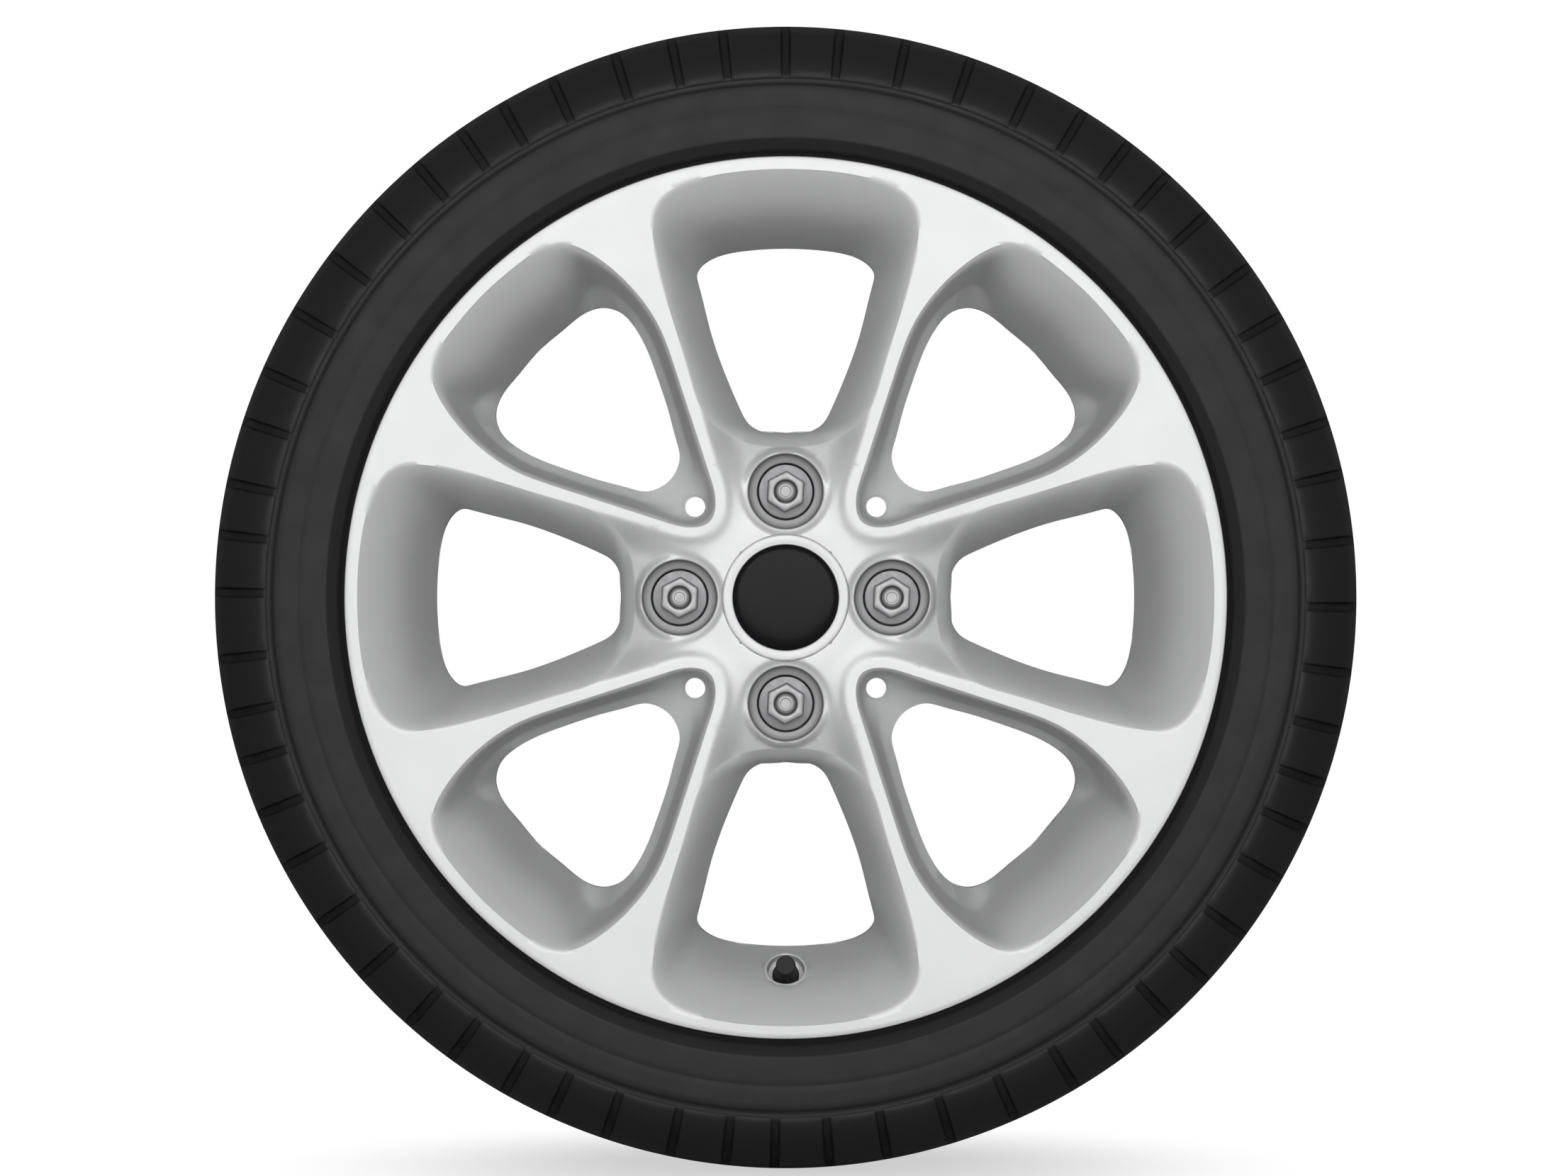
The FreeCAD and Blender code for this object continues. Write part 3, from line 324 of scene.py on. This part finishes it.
def mesh_piece(name, patches, weld=2e-5, sharp=38.0):
    """One object from (points in metres, faces) patches: doubles merged, faces turned outwards, smooth but for edges
    sharper than the given angle."""
    starts = np.cumsum([0] + [len(v) for v, f in patches])
    vertices = np.vstack([v for v, f in patches])
    faces = np.vstack([f + s for (v, f), s in zip(patches, starts)])
    mesh = bpy.data.meshes.new(name)
    mesh.from_pydata(vertices.tolist(), [], faces.tolist())
    work = bmesh.new()
    work.from_mesh(mesh)
    bmesh.ops.remove_doubles(work, verts=work.verts, dist=weld)
    bmesh.ops.dissolve_degenerate(work, dist=weld / 2, edges=work.edges)
    bmesh.ops.delete(work, geom=[v for v in work.verts if not v.link_faces], context="VERTS")
    bmesh.ops.recalc_face_normals(work, faces=work.faces)
    work.to_mesh(mesh)
    work.free()
    mesh.shade_smooth()
    mesh.set_sharp_from_angle(angle=np.radians(sharp))
    piece = bpy.data.objects.new(name, mesh)
    bpy.context.collection.objects.link(piece)
    return piece


rim_patches, seat_patches = [], []
for quarter in (0.0, 90.0, 180.0, 270.0):
    for mirror in (False, True):
        for patch in (front, lip, foot_strip):
            rim_patches.append((placed(patch, quarter, mirror), quads(*patch.shape[:2])))
        rim_patches.append((placed(back_points, quarter, mirror), back_faces))
    rim_patches.append((placed(pocket[:5], quarter), quads(5, pocket.shape[1])))
    seat_patches.append((placed(pocket[4:], quarter), quads(len(pocket) - 4, pocket.shape[1])))
    if quarter == 180.0:
        low_wall = np.concatenate([turn(cross_wall[..., :2], 180.0), cross_wall[..., 2:]], -1).reshape(-1, 3)
        wall_points, wall_faces = pierced(low_wall, quads(*cross_wall.shape[:2]), from_valve, VALVE_WALL_R)
        rim_patches.append((placed(wall_points, 0.0), wall_faces))
        rim_patches.append((placed(valve_pocket, 0.0), quads(*valve_pocket.shape[:2])))
    else:
        rim_patches.append((placed(cross_wall, quarter), quads(*cross_wall.shape[:2])))
    rim_patches.append((placed(web_points, quarter + 45.0), web_faces))
    for patch in (drain, hollow):
        rim_patches.append((placed(patch, quarter + 45.0), quads(*patch.shape[:2])))


def ring_grid(profile, count):
    """A profile of (distance from axle, forward height) carried round the axle, as points and faces in millimetres."""
    profile = np.array(profile, float)
    t = np.linspace(0.0, 2 * np.pi, count + 1)
    ring = np.stack([profile[:, :1] * np.sin(t), profile[:, :1] * np.cos(t),
                     np.broadcast_to(profile[:, 1:], (len(profile), count + 1))], -1)
    return ring.reshape(-1, 3), quads(len(profile), count + 1)


def revolved(profile, count):
    """The same, put in metres."""
    points, faces = ring_grid(profile, count)
    return placed(points, 0.0), faces


hub_bore = [(30.0, 69.4), (29.92, 69.1), (29.92, 56.0), (30.05, 51.0), (30.05, 33.0), (31.0, 32.0)]
rim_patches.append(revolved(hub_bore, 128))
alloy_rim = mesh_piece("alloy_rim_face", rim_patches)
bolt_seats = mesh_piece("alloy_rim_bolt_seats", seat_patches)

FRONT_FLANGE = [(205.0, 74.5), (206.7, 74.48), (207.15, 74.3), (207.4, 73.9), (207.5, 73.3), (207.5, 71.6),
                (206.9, 70.6), (205.0, 69.8), (202.0, 69.0), (197.6, 65.4), (193.0, 60.8), (189.6, 55.0),
                (188.6, 44.0)]
WELL = np.linspace((186.8, 37.0), (180.5, 20.0), 13).tolist()
REAR_FLANGE = [(176.5, 0.0), (172.6, -9.5), (187.0, -37.0), (188.6, -44.0), (189.6, -55.0), (193.0, -60.8),
               (197.6, -66.4), (202.0, -69.0), (205.0, -69.8), (206.9, -70.6), (207.5, -71.6),
               (207.5, -73.1), (206.9, -74.25), (205.0, -74.5), (201.4, -74.4), (196.0, -70.0),
               (189.0, -63.5), (185.5, -57.0), (184.36, -38.0), (168.3, -9.5)]
barrel_points, barrel_faces = pierced(*ring_grid(FRONT_FLANGE + WELL + REAR_FLANGE, 360),
                                      from_valve, VALVE_BARREL_R)
rim_barrel = mesh_piece("alloy_rim_barrel", [(placed(barrel_points, 0.0), barrel_faces)], sharp=30.0)


class Socket:
    """A shader value. Arithmetic on it adds Math nodes to its tree."""

    def __init__(self, tree, out):
        self.tree, self.out = tree, out

    def node(self, kind, settings=None, **values):
        """Adds one node: settings first, then socket values or links by name (underscores for blanks) or as i0, i1."""
        made = self.tree.nodes.new(kind)
        for key, value in (settings or {}).items():
            setattr(made, key, value)
        for key, value in values.items():
            numbered = key[:1] == "i" and key[1:].isdigit()
            plug = made.inputs[int(key[1:]) if numbered else key.replace("_", " ")]
            if isinstance(value, Socket):
                self.tree.links.new(value.out, plug)
            else:
                plug.default_value = value
        return made

    def math(self, operation, one, two=0.0):
        return Socket(self.tree, self.node("ShaderNodeMath", {"operation": operation}, i0=one, i1=two).outputs[0])

    def __add__(self, other):
        return self.math("ADD", self, other)

    def __mul__(self, other):
        return self.math("MULTIPLY", self, other)


def finish_of(name, **values):
    """A new Principled material with its plain values set, and the wrapped Object coordinates to build on."""
    material = bpy.data.materials.new(name)
    material.use_nodes = True
    tree = material.node_tree
    shader = tree.nodes["Principled BSDF"]
    for key, value in values.items():
        shader.inputs[key.replace("_", " ")].default_value = value
    where = Socket(tree, tree.nodes.new("ShaderNodeTexCoord").outputs["Object"])
    return material, shader, where


def link(where, out, shader, name):
    where.tree.links.new(out.out if isinstance(out, Socket) else out, shader.inputs[name])


silver, shader, where = finish_of("silver_lacquer", Base_Color=(0.68, 0.683, 0.687, 1), Metallic=0.24, Roughness=0.48,
                                  Specular_IOR_Level=0.25)
flake = where.node("ShaderNodeTexNoise", Vector=where, Scale=1400.0, Detail=2.0)
cloud = where.node("ShaderNodeTexNoise", Vector=where, Scale=40.0, Detail=2.0)
tone = Socket(where.tree, flake.outputs[0]) * 0.10 + Socket(where.tree, cloud.outputs[0]) * 0.06 + 0.42
link(where, tone, shader, "Roughness")
bare, shader, where = finish_of("bare_seat", Base_Color=(0.27, 0.27, 0.275, 1), Metallic=0.3, Roughness=0.5)
for piece, paint in ((alloy_rim, silver), (rim_barrel, silver), (bolt_seats, bare)):
    piece.data.materials.append(paint)
    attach(piece, "wheel")
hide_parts("alloy_rim")


# Tyre: a moulded rubber casing on the rim's bead seats. Its shoulders are cut by cross grooves into sixty blocks, a
# run of twelve uneven pitches repeated five times, and grooves run round the tread.
PITCHES = np.array([5.4, 6.7, 6.7, 6.6, 5.8, 5.5, 4.9, 5.6, 6.7, 5.8, 5.2, 6.3] * 5)
PITCHES = PITCHES * 360.0 / PITCHES.sum()
TYRE_SIDE = np.array([
    (190.2, 44.4), (191.4, 54.0), (195.2, 61.6), (199.6, 66.2), (205.3, 69.2), (208.2, 70.6),
    (209.2, 71.6), (210.0, 74.0), (211.4, 77.2), (212.6, 79.0), (213.6, 79.8), (214.6, 80.3),
    (215.2, 80.9), (216.0, 81.15), (217.0, 81.15), (219.0, 81.2), (222.0, 81.3), (226.0, 81.3),
    (228.4, 81.25), (228.9, 81.1), (229.4, 81.1), (229.9, 81.25), (233.0, 81.2), (237.0, 81.15),
    (239.8, 81.05), (240.5, 80.7), (241.2, 80.0), (241.8, 79.65), (243.0, 79.55), (243.5, 79.6),
    (243.9, 79.95), (244.4, 80.2), (246.2, 80.1), (248.0, 79.4), (250.5, 77.9), (253.0, 76.1),
    (255.5, 73.8), (258.0, 70.8), (260.2, 67.5), (262.4, 64.2), (264.4, 61.3), (266.0, 58.5),
    (267.4, 55.0), (269.2, 48.0), (270.8, 40.0), (271.9, 33.0), (272.1, 30.6), (271.6, 30.1),
    (265.2, 29.4), (264.9, 28.6), (264.9, 23.4), (265.2, 22.6), (271.9, 21.9), (272.4, 21.4),
    (272.8, 12.0), (273.0, 4.4), (272.6, 4.0), (265.9, 3.3), (265.6, 2.6)])
CASING_R = 236.0
tyre_profile = np.vstack([TYRE_SIDE, TYRE_SIDE[::-1] * (1.0, -1.0)])
slope = np.gradient(tyre_profile, axis=0)
inward = np.stack([-slope[:, 1], slope[:, 0]], 1)
inward /= np.linalg.norm(inward, axis=1)[:, None]
inward[((np.array([CASING_R, 0.0]) - tyre_profile) * inward).sum(1) < 0] *= -1.0
GROOVE_AT = (244.0, 245.0, 247.0, 252.0, 259.0, 266.0, 270.6, 271.6, 271.9)
GROOVE_DEEP = (0.0, 0.5, 1.6, 2.4, 3.6, 4.6, 3.2, 0.3, 0.0)
deep = np.interp(tyre_profile[:, 0], GROOVE_AT, GROOVE_DEEP)
deep[np.abs(tyre_profile[:, 1]) < 33.0] = 0.0
starts = np.concatenate([[0.0], np.cumsum(PITCHES)[:-1]])
GROOVE_R, REAR_SHIFT = 255.0, 2.6
GROOVE_MM = np.array([-2.5, -2.0, -1.5, 1.5, 2.0, 2.5])
INNER_SHARES = np.array([0.22, 0.38, 0.54, 0.70, 0.86])
groove_turn = np.degrees(GROOVE_MM / GROOVE_R)
block_turn = np.concatenate([groove_turn + starts[:, None], groove_turn[-1] + starts[:, None]
                             + INNER_SHARES * (PITCHES[:, None] - 2 * groove_turn[-1]) * 0.98], 1)
GROOVE_CUT = [0.0, 0.35, 1.0, 1.0, 0.35, 0.0]
cut_share = np.tile(np.array(GROOVE_CUT + [0.0] * len(INNER_SHARES)), (len(PITCHES), 1)).ravel()
tyre_turn = np.radians(np.append(block_turn.ravel(), block_turn[0, 0] + 360.0))
cut_share = np.append(cut_share, cut_share[0])
rear_turn = np.where(tyre_profile[:, 1] < 0, np.radians(REAR_SHIFT), 0.0)
turned_by = tyre_turn + rear_turn[:, None] * soft_step(0.0, 20.0, np.abs(tyre_profile[:, 1]))[:, None]
sunk = tyre_profile[:, None, :] + inward[:, None, :] * (deep[:, None] * cut_share)[..., None]
tyre_grid = np.stack([sunk[..., 0] * np.sin(turned_by), sunk[..., 0] * np.cos(turned_by), sunk[..., 1]], -1)
tyre = mesh_piece("tyre_casing", [(placed(tyre_grid, 0.0), quads(*tyre_grid.shape[:2]))], sharp=42.0)

rubber, shader, where = finish_of("tyre_rubber", Base_Color=(0.016, 0.016, 0.0165, 1), Roughness=0.62,
                                  Specular_IOR_Level=0.26)
dust = where.node("ShaderNodeTexNoise", Vector=where, Scale=60.0, Detail=4.0)
grain = where.node("ShaderNodeTexNoise", Vector=where, Scale=900.0, Detail=3.0)
link(where, Socket(where.tree, dust.outputs[0]) * 0.16 + 0.52, shader, "Roughness")
bump = where.node("ShaderNodeBump", Height=Socket(where.tree, grain.outputs[0]), Strength=0.12, Distance=0.0003)
link(where, bump.outputs[0], shader, "Normal")
tyre.data.materials.append(rubber)
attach(tyre, "wheel")
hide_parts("tyre")


# Wheel bolts: four forged steel bolts, zinc plated, with a rolled thread, a flange, a hexagon and a round recess in the
# end with a raised button. They clamp the rim to the car's hub from the front.
bolt_turn = np.linspace(0.0, 2 * np.pi, 97)
HEX_FLAT, HEX_CORNER, HEX_TURN = 8.5, 9.65, np.radians(3.0)
THREAD_R, THREAD_DEEP, THREAD_PITCH = 5.72, 0.28, 1.5
# Forward edge, as a y coordinate in metres; bolt surface past it is painted lighter as a highlight.
LIT_FRONT_Y = -0.0666
hexagon = np.minimum(HEX_FLAT / np.cos((bolt_turn - HEX_TURN) % (np.pi / 3) - np.pi / 6), HEX_CORNER)
thread_a = np.arange(15.2, 33.0, 0.3)
BOLT_END = [(0.0, 0.0, 14.0), (4.6, 0.0, 14.0), (5.5, 0.0, 14.9)]
BOLT_HEAD = [(6.0, 0, 33.4), (6.0, 0, 52.0), (12.75, 0, 58.0), (12.75, 0, 61.0), (12.55, 0, 61.4), (12.1, 0, 61.5),
             (0, 1.06, 61.5), (0, 1.02, 61.55), (0, 1.0, 61.8), (0, 1.0, 67.7), (0, 0.985, 68.4), (0, 0.955, 68.8),
             (0, 0.90, 69.0), (6.1, 0, 69.0), (5.75, 0, 68.9), (5.5, 0, 68.5), (5.4, 0, 64.8), (5.1, 0, 64.6),
             (4.8, 0, 64.7), (4.6, 0, 67.3), (4.2, 0, 67.75), (3.4, 0, 68.05), (2.75, 0, 68.15), (2.5, 0, 68.05),
             (2.35, 0, 67.9), (0.0, 0, 67.9)]


def bolt_rings(rows):
    """Rings of a bolt: distance from its axis = round share + hexagon share x hexagon(angle), at each height."""
    rows = np.array(rows, float)
    r = rows[:, :1] + rows[:, 1:2] * hexagon
    return np.stack([r * np.sin(bolt_turn), r * np.cos(bolt_turn), np.broadcast_to(rows[:, 2:], r.shape)], -1)


thread_r = THREAD_R + THREAD_DEEP * np.cos(2 * np.pi * thread_a[:, None] / THREAD_PITCH - bolt_turn)
thread = np.stack([thread_r * np.sin(bolt_turn), thread_r * np.cos(bolt_turn),
                   np.broadcast_to(thread_a[:, None], thread_r.shape)], -1)
bolt = np.concatenate([bolt_rings(BOLT_END), thread, bolt_rings(BOLT_HEAD)])
zinc, shader, where = finish_of("bolt_zinc", Base_Color=(0.21, 0.21, 0.215, 1), Metallic=0.4, Roughness=0.45)
wear = where.node("ShaderNodeTexNoise", Vector=where, Scale=350.0, Detail=4.0)
link(where, Socket(where.tree, wear.outputs[0]) * 0.25 + 0.33, shader, "Roughness")
# Painted highlight and shade: the bolt's front end, forward of LIT_FRONT_Y (hexagon top and button), gets the lighter
# grey; the flange, hexagon sides and recess get the darker grey as painted shade.
height = where.node("ShaderNodeSeparateXYZ", Vector=where)
lit_front = where.math("LESS_THAN", Socket(where.tree, height.outputs["Y"]), LIT_FRONT_Y)
painted_highlight_mix = where.node("ShaderNodeMix", {"data_type": "RGBA"}, i0=lit_front,
                   i6=(0.20, 0.20, 0.205, 1), i7=(0.33, 0.33, 0.335, 1))
link(where, Socket(where.tree, painted_highlight_mix.outputs[2]), shader, "Base Color")
for number, (x, v) in enumerate(((0, BOLT_CIRCLE), (BOLT_CIRCLE, 0), (0, -BOLT_CIRCLE), (-BOLT_CIRCLE, 0)), 1):
    piece = mesh_piece("wheel_bolt_%d_look" % number, [(placed(bolt + (x, v, 0), 0.0), quads(*bolt.shape[:2]))])
    piece.data.materials.append(zinc)
    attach(piece, "wheel")
    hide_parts("wheel_bolt_%d" % number)


# Centre cap: a moulded ring painted silver that snaps into the hub by six legs, with a plain gloss black domed disc
# and a wire ring behind that spreads the legs.
RING = [(24.98, 69.0), (25.0, 70.5), (25.15, 70.75), (25.5, 70.88), (28.9, 70.88), (29.3, 70.8), (29.55, 70.55),
        (29.62, 70.1), (29.62, 57.0)]
DISC = [(24.9, 68.2), (24.85, 69.5), (24.6, 70.2), (24.1, 70.75), (23.3, 71.1), (22.0, 71.35),
        (19.0, 71.55), (15.0, 71.68), (10.0, 71.75), (5.0, 71.79), (0.01, 71.8)]
cap_ring = mesh_piece("cap_ring_face", [revolved(RING, 144)])
cap_dome = mesh_piece("cap_disc_dome", [revolved(DISC, 144)])
cap_black, shader, where = finish_of("cap_black", Base_Color=(0.010, 0.010, 0.011, 1), Roughness=0.22,
                                     Specular_IOR_Level=0.05)
spring_steel, shader, where = finish_of("spring_steel", Base_Color=(0.42, 0.42, 0.43, 1), Metallic=1.0, Roughness=0.35)


def dressed(node, material):
    """A solid's own mesh with its finish; its loose triangles stay as they are."""
    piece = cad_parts[node]
    piece.data.materials.clear()
    piece.data.materials.append(material)


cap_ring.data.materials.append(silver)
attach(cap_ring, "wheel")
cap_dome.data.materials.append(cap_black)
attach(cap_dome, "wheel")
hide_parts("cap_disc")
dressed("centre_cap", silver)
dressed("cap_spring", spring_steel)


# Valve: a snap-in rubber body with a brass tube, its core, pin, spring and seals, and a knurled plastic cap.
valve_black, shader, where = finish_of("valve_rubber", Base_Color=(0.010, 0.010, 0.0105, 1), Roughness=0.55,
                                       Specular_IOR_Level=0.3)
brass, shader, where = finish_of("valve_brass", Base_Color=(0.62, 0.47, 0.22, 1), Metallic=1.0, Roughness=0.32)
cap_plastic, shader, where = finish_of("valve_cap", Base_Color=(0.008, 0.008, 0.0085, 1), Roughness=0.42,
                                       Specular_IOR_Level=0.25)
dressed("valve_rubber", valve_black)
for node in ("valve_tube", "valve_core", "core_pin", "core_cup"):
    dressed(node, brass)
dressed("core_gasket", valve_black)
dressed("core_spring", spring_steel)
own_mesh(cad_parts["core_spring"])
dressed("valve_cap", cap_plastic)
dressed("valve_cap_seal", valve_black)


# Studio: a pale floor under the tyre that fades into a white surround, a large soft lamp by the camera with a small one
# on each side, and one behind. The camera stands on the axle line with a long lens.
bpy.context.scene.view_settings.view_transform = "Standard"
floor_mesh = bpy.data.meshes.new("floor")
FLOOR_HALF, FLOOR_Z = 4, -0.2732
floor_corners = [(x * FLOOR_HALF, y * FLOOR_HALF, FLOOR_Z) for x, y in ((-1, -1), (1, -1), (1, 1), (-1, 1))]
floor_mesh.from_pydata(floor_corners, [], [(0, 1, 2, 3)])
floor = bpy.data.objects.new("floor", floor_mesh)
bpy.context.collection.objects.link(floor)
floor_paint, shader, where = finish_of("floor_paint", Base_Color=(0.6, 0.6, 0.6, 1), Roughness=0.9,
                                       Specular_IOR_Level=0.0)
sight = where.node("ShaderNodeLightPath")
away = where.node("ShaderNodeVectorMath", {"operation": "DISTANCE"}, i0=where, i1=(0.0, 0.0, FLOOR_Z))
fade = where.node("ShaderNodeMapRange", {"interpolation_type": "SMOOTHSTEP"},
                  Value=Socket(where.tree, away.outputs["Value"]),
                  From_Min=0.06, From_Max=0.26, To_Min=0.6, To_Max=1.0)
white = where.node("ShaderNodeEmission", Color=(1, 1, 1, 1), Strength=1.0)
white_share = Socket(where.tree, sight.outputs["Is Camera Ray"]) * Socket(where.tree, fade.outputs[0])
blend = where.node("ShaderNodeMixShader", i0=white_share, i1=Socket(where.tree, shader.outputs[0]),
                   i2=Socket(where.tree, white.outputs[0]))
where.tree.links.new(blend.outputs[0], where.tree.nodes["Material Output"].inputs["Surface"])
floor.data.materials.append(floor_paint)

world = bpy.data.worlds.new("studio")
world.use_nodes = True
bpy.context.scene.world = world
air = Socket(world.node_tree, None)
path = air.node("ShaderNodeLightPath")
seen = air.math("MAXIMUM", Socket(air.tree, path.outputs["Is Camera Ray"]),
                Socket(air.tree, path.outputs["Is Transmission Ray"]))
DIM, MIRRORED = 0.03, 0.15
seen = air.math("MAXIMUM", seen, Socket(air.tree, path.outputs["Is Glossy Ray"]) * MIRRORED)
surround = world.node_tree.nodes["Background"]
surround.inputs["Color"].default_value = (1, 1, 1, 1)
world.node_tree.links.new((seen * (1.0 - DIM) + DIM).out, surround.inputs["Strength"])


def lamp(name, place, size, watts):
    """A soft square lamp that looks at the wheel's middle."""
    light = bpy.data.lights.new(name, "AREA")
    light.size, light.energy = size, watts
    holder = bpy.data.objects.new(name, light)
    holder.location = place
    toward = np.array(place) / np.linalg.norm(place)
    holder.rotation_euler = (np.arccos(toward[2]), 0.0, np.arctan2(toward[1], toward[0]) + np.pi / 2)
    bpy.context.collection.objects.link(holder)


lamp("lamp_front", (0.0, -3.5, 0.35), 2.4, 112.0)
lamp("lamp_left", (-1.3, -2.9, 0.5), 0.9, 6.0)
lamp("lamp_right", (1.3, -2.9, 0.5), 0.9, 6.0)
lamp("lamp_back", (0.0, 3.4, 0.1), 0.8, 30.0)

camera = bpy.data.objects.new("camera", bpy.data.cameras.new("camera"))
camera.data.lens, camera.data.sensor_width = 146.6, 36.0
camera.data.clip_end = 50.0
camera.location = (-0.0008, -3.0745, 0.0045)
camera.rotation_euler = (np.pi / 2, 0.0, 0.0)
bpy.context.collection.objects.link(camera)
bpy.context.scene.camera = camera
